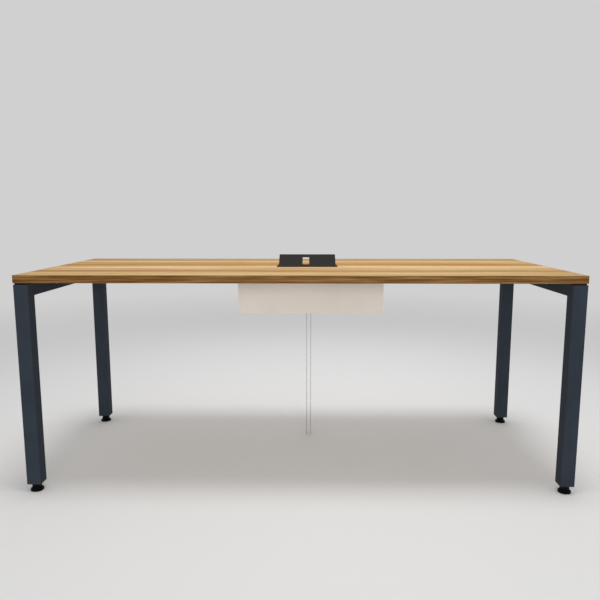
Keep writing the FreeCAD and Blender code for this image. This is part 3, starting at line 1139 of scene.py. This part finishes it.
@dataclass
class AccessFlap(SubAssembly):
    """The flap in the top: its frame, lid, hinge pins and the clamps under the board."""

    clamp_foot: float = 0.020
    clamp_sheet: float = 0.0015
    screw: ButtonScrew = field(default_factory=lambda: ButtonScrew(radius=0.0038, height=0.0022))

    def dress(self) -> None:
        """Coat the lid, give the frame its plastic, and plate the pins and clamps."""
        self.coat(["flap_lid"], self.palette.charcoal)
        self.coat(["flap_frame"], self.palette.black)
        self.coat(["flap_hinge_pins", "flap_clamps"], self.palette.zinc)

    def build(self) -> None:
        """Make the screws that hold each clamp to the board and to the collar."""
        low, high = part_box("flap_clamps")
        y = (low.y + high.y) / 2
        seat = high.z - self.clamp_sheet
        ends = (low.x + self.clamp_foot / 2, high.x - self.clamp_foot / 2)
        wall = (low.z + seat) / 2
        screws = bmesh.new()
        self.screw.drive(screws, [Vector((x, y, seat)) for x in ends], DOWN)
        for x, side in ((low.x + self.clamp_foot, -1.0), (high.x - self.clamp_foot, 1.0)):
            self.screw.drive(screws, [Vector((x, y, wall))], Vector((side, 0.0, 0.0)))
        make_piece("clamp_screw_heads", screws, self.palette.zinc)


@dataclass
class CableTray(SubAssembly):
    """The tray under the flap, its end caps and the straps that carry it."""

    strap_width: float = 0.025
    strap_sheet: float = 0.002
    strap_foot: float = 0.022
    rivet_drops: tuple[float, float] = (0.008, 0.020)
    screw: ButtonScrew = field(default_factory=ButtonScrew)
    rivet: DomeRivet = field(default_factory=DomeRivet)

    def dress(self) -> None:
        """Paint the sheet metal."""
        self.coat(["tray_body", "tray_end_left", "tray_end_right", "tray_hangers"], self.palette.cream)

    def build(self) -> None:
        """Make the screws under the straps' feet and the rivets through the end caps."""
        low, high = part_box("tray_hangers")
        rows = (low.y + self.strap_width / 2, high.y - self.strap_width / 2)
        seat = high.z - self.strap_sheet
        ends = (low.x + self.strap_foot / 2, high.x - self.strap_foot / 2)
        places = [Vector((x, y, seat)) for x in ends for y in rows]
        screws = bmesh.new()
        self.screw.drive(screws, places, DOWN)
        make_piece("hanger_screw_heads", screws, self.palette.zinc)
        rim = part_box("tray_body")[1].z
        rivets = bmesh.new()
        for x, side in ((low.x + self.strap_foot, -1.0), (high.x - self.strap_foot, 1.0)):
            places = [Vector((x, y, rim - drop)) for y in rows for drop in self.rivet_drops]
            self.rivet.drive(rivets, places, Vector((side, 0.0, 0.0)))
        make_piece("hanger_rivets", rivets, self.palette.cream)


@dataclass
class Riser(SubAssembly):
    """The clear tube from the tray to the floor and its collar."""

    def dress(self) -> None:
        """Make the tube and the collar clear."""
        self.coat(["riser_tube", "riser_collar"], self.palette.clear)


@dataclass(frozen=True)
class Lamp:
    """A soft lamp, by its place, the point that it is aimed at, its size, its power and its spread."""

    name: str
    place: Triple
    target: Triple
    size: tuple[float, float]
    power: float
    spread: float

    def hang(self) -> None:
        """Put the lamp in the scene."""
        data = bpy.data.lights.new(self.name, "AREA")
        data.shape = "RECTANGLE"
        data.size, data.size_y = self.size
        data.energy = self.power
        data.spread = self.spread
        lamp = bpy.data.objects.new(self.name, data)
        lamp.location = self.place
        lamp.rotation_euler = (Vector(self.target) - lamp.location).to_track_quat("-Z", "Y").to_euler()
        lamp.visible_camera = False
        bpy.context.scene.collection.objects.link(lamp)


@dataclass
class Studio:
    """A plain pale studio: a floor that ends softly, even light from all round, soft lamps and a camera."""

    backdrop: Colour = srgb(209, 208, 208)
    ambient: float = 0.60
    floor_tones: tuple[Colour, Colour] = (grey(0.796), grey(0.806))
    floor_fade: Span = (1.8, 5.0)
    floor_drop: float = 0.0003
    floor_cloud: float = 1.5
    floor_roughness: float = 0.9
    floor_specular: float = 0.05
    floor_points: int = 96
    lamps: tuple[Lamp, ...] = (
        Lamp("top_lamp", place=(0.30, -0.40, 5.6), target=(0.20, 0.0, 0.0), size=(2.0, 1.6),
             power=13.4, spread=math.radians(60)),
        Lamp("front_lamp", place=(0.0, -5.0, 1.3), target=(0.0, 0.0, 1.1), size=(3.0, 1.2),
             power=16.5, spread=math.radians(80)),
        Lamp("rear_lamp", place=(0.0, 2.6, 2.0), target=(0.0, 0.6, 0.0), size=(3.0, 1.0),
             power=3.0, spread=math.radians(110)),
    )
    camera_place: Triple = (0.03534, -2.2635, 0.90727)
    camera_pitch: float = 0.1508
    camera_turn: float = 0.0109
    lens: float = 36.616
    sensor: float = 36.0
    shift: tuple[float, float] = (-0.00657, 0.0125)

    def build(self) -> None:
        """Set up the floor, the light and the camera."""
        self.set_view()
        self.light_world()
        self.lay_floor()
        for lamp in self.lamps:
            lamp.hang()
        self.place_camera()

    def set_view(self) -> None:
        """Show colours as they are, with no film look."""
        bpy.context.scene.view_settings.view_transform = "Standard"

    def light_world(self) -> None:
        """Light the table evenly from all round, with the backdrop's grey where it is seen."""
        world = bpy.data.worlds.new("studio")
        world.use_nodes = True
        bpy.context.scene.world = world
        graph = Graph(world.node_tree)
        rays = graph.node("ShaderNodeLightPath").outputs
        seen = rays["Is Camera Ray"]
        for name in ("Is Glossy Ray", "Is Transmission Ray"):
            seen = graph.math("MAXIMUM", seen, rays[name])
        tone = graph.mix("MIX", seen, grey(self.ambient), self.backdrop)
        graph.feed(graph.tree.nodes["Background"], Color=tone)

    def lay_floor(self) -> None:
        """Lay the floor as a wide disc just under the feet, which fades into the backdrop."""
        mesh = bmesh.new()
        bmesh.ops.create_circle(mesh, cap_ends=True, segments=self.floor_points, radius=self.floor_fade[1],
                                matrix=Matrix.Translation((0.0, 0.0, -self.floor_drop)))
        data = bpy.data.meshes.new("studio_floor")
        mesh.to_mesh(data)
        mesh.free()
        graph = Surface("studio_floor")
        clouds = graph.noise(cube_size(self.floor_cloud), detail=3.0)
        reach = graph.node("ShaderNodeVectorMath", operation="LENGTH")
        graph.feed(reach, Vector=graph.place)
        graph.set(Base_Color=graph.fade(clouds, TONE_SPAN, *self.floor_tones),
                  Roughness=self.floor_roughness, Specular_IOR_Level=self.floor_specular,
                  Alpha=graph.spread(reach.outputs["Value"], self.floor_fade, FALLING))
        data.materials.append(graph.material)
        floor = bpy.data.objects.new("studio_floor", data)
        bpy.context.scene.collection.objects.link(floor)

    def place_camera(self) -> None:
        """Set the camera at the photograph's viewpoint."""
        data = bpy.data.cameras.new("camera")
        data.sensor_width = self.sensor
        data.lens = self.lens
        data.shift_x, data.shift_y = self.shift
        camera = bpy.data.objects.new("camera", data)
        camera.location = self.camera_place
        camera.rotation_euler = (math.pi / 2 - self.camera_pitch, 0.0, self.camera_turn)
        bpy.context.scene.collection.objects.link(camera)
        bpy.context.scene.camera = camera


def main() -> None:
    """Load the frame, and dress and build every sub-assembly."""
    logging.basicConfig(level=logging.INFO, format="%(message)s")
    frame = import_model()
    nodes = frame["nodes"]
    palette = make_palette()
    single = (TableTop, EndFrames, LongBeams, AccessFlap, CableTray, Riser)
    assemblies: list[SubAssembly] = [kind(nodes, palette) for kind in single]
    assemblies += [LevellingFoot(nodes, palette, corner) for corner in Corner]
    for assembly in assemblies:
        assembly.dress()
        assembly.build()
    Studio().build()


if __name__ == "__main__":
    main()
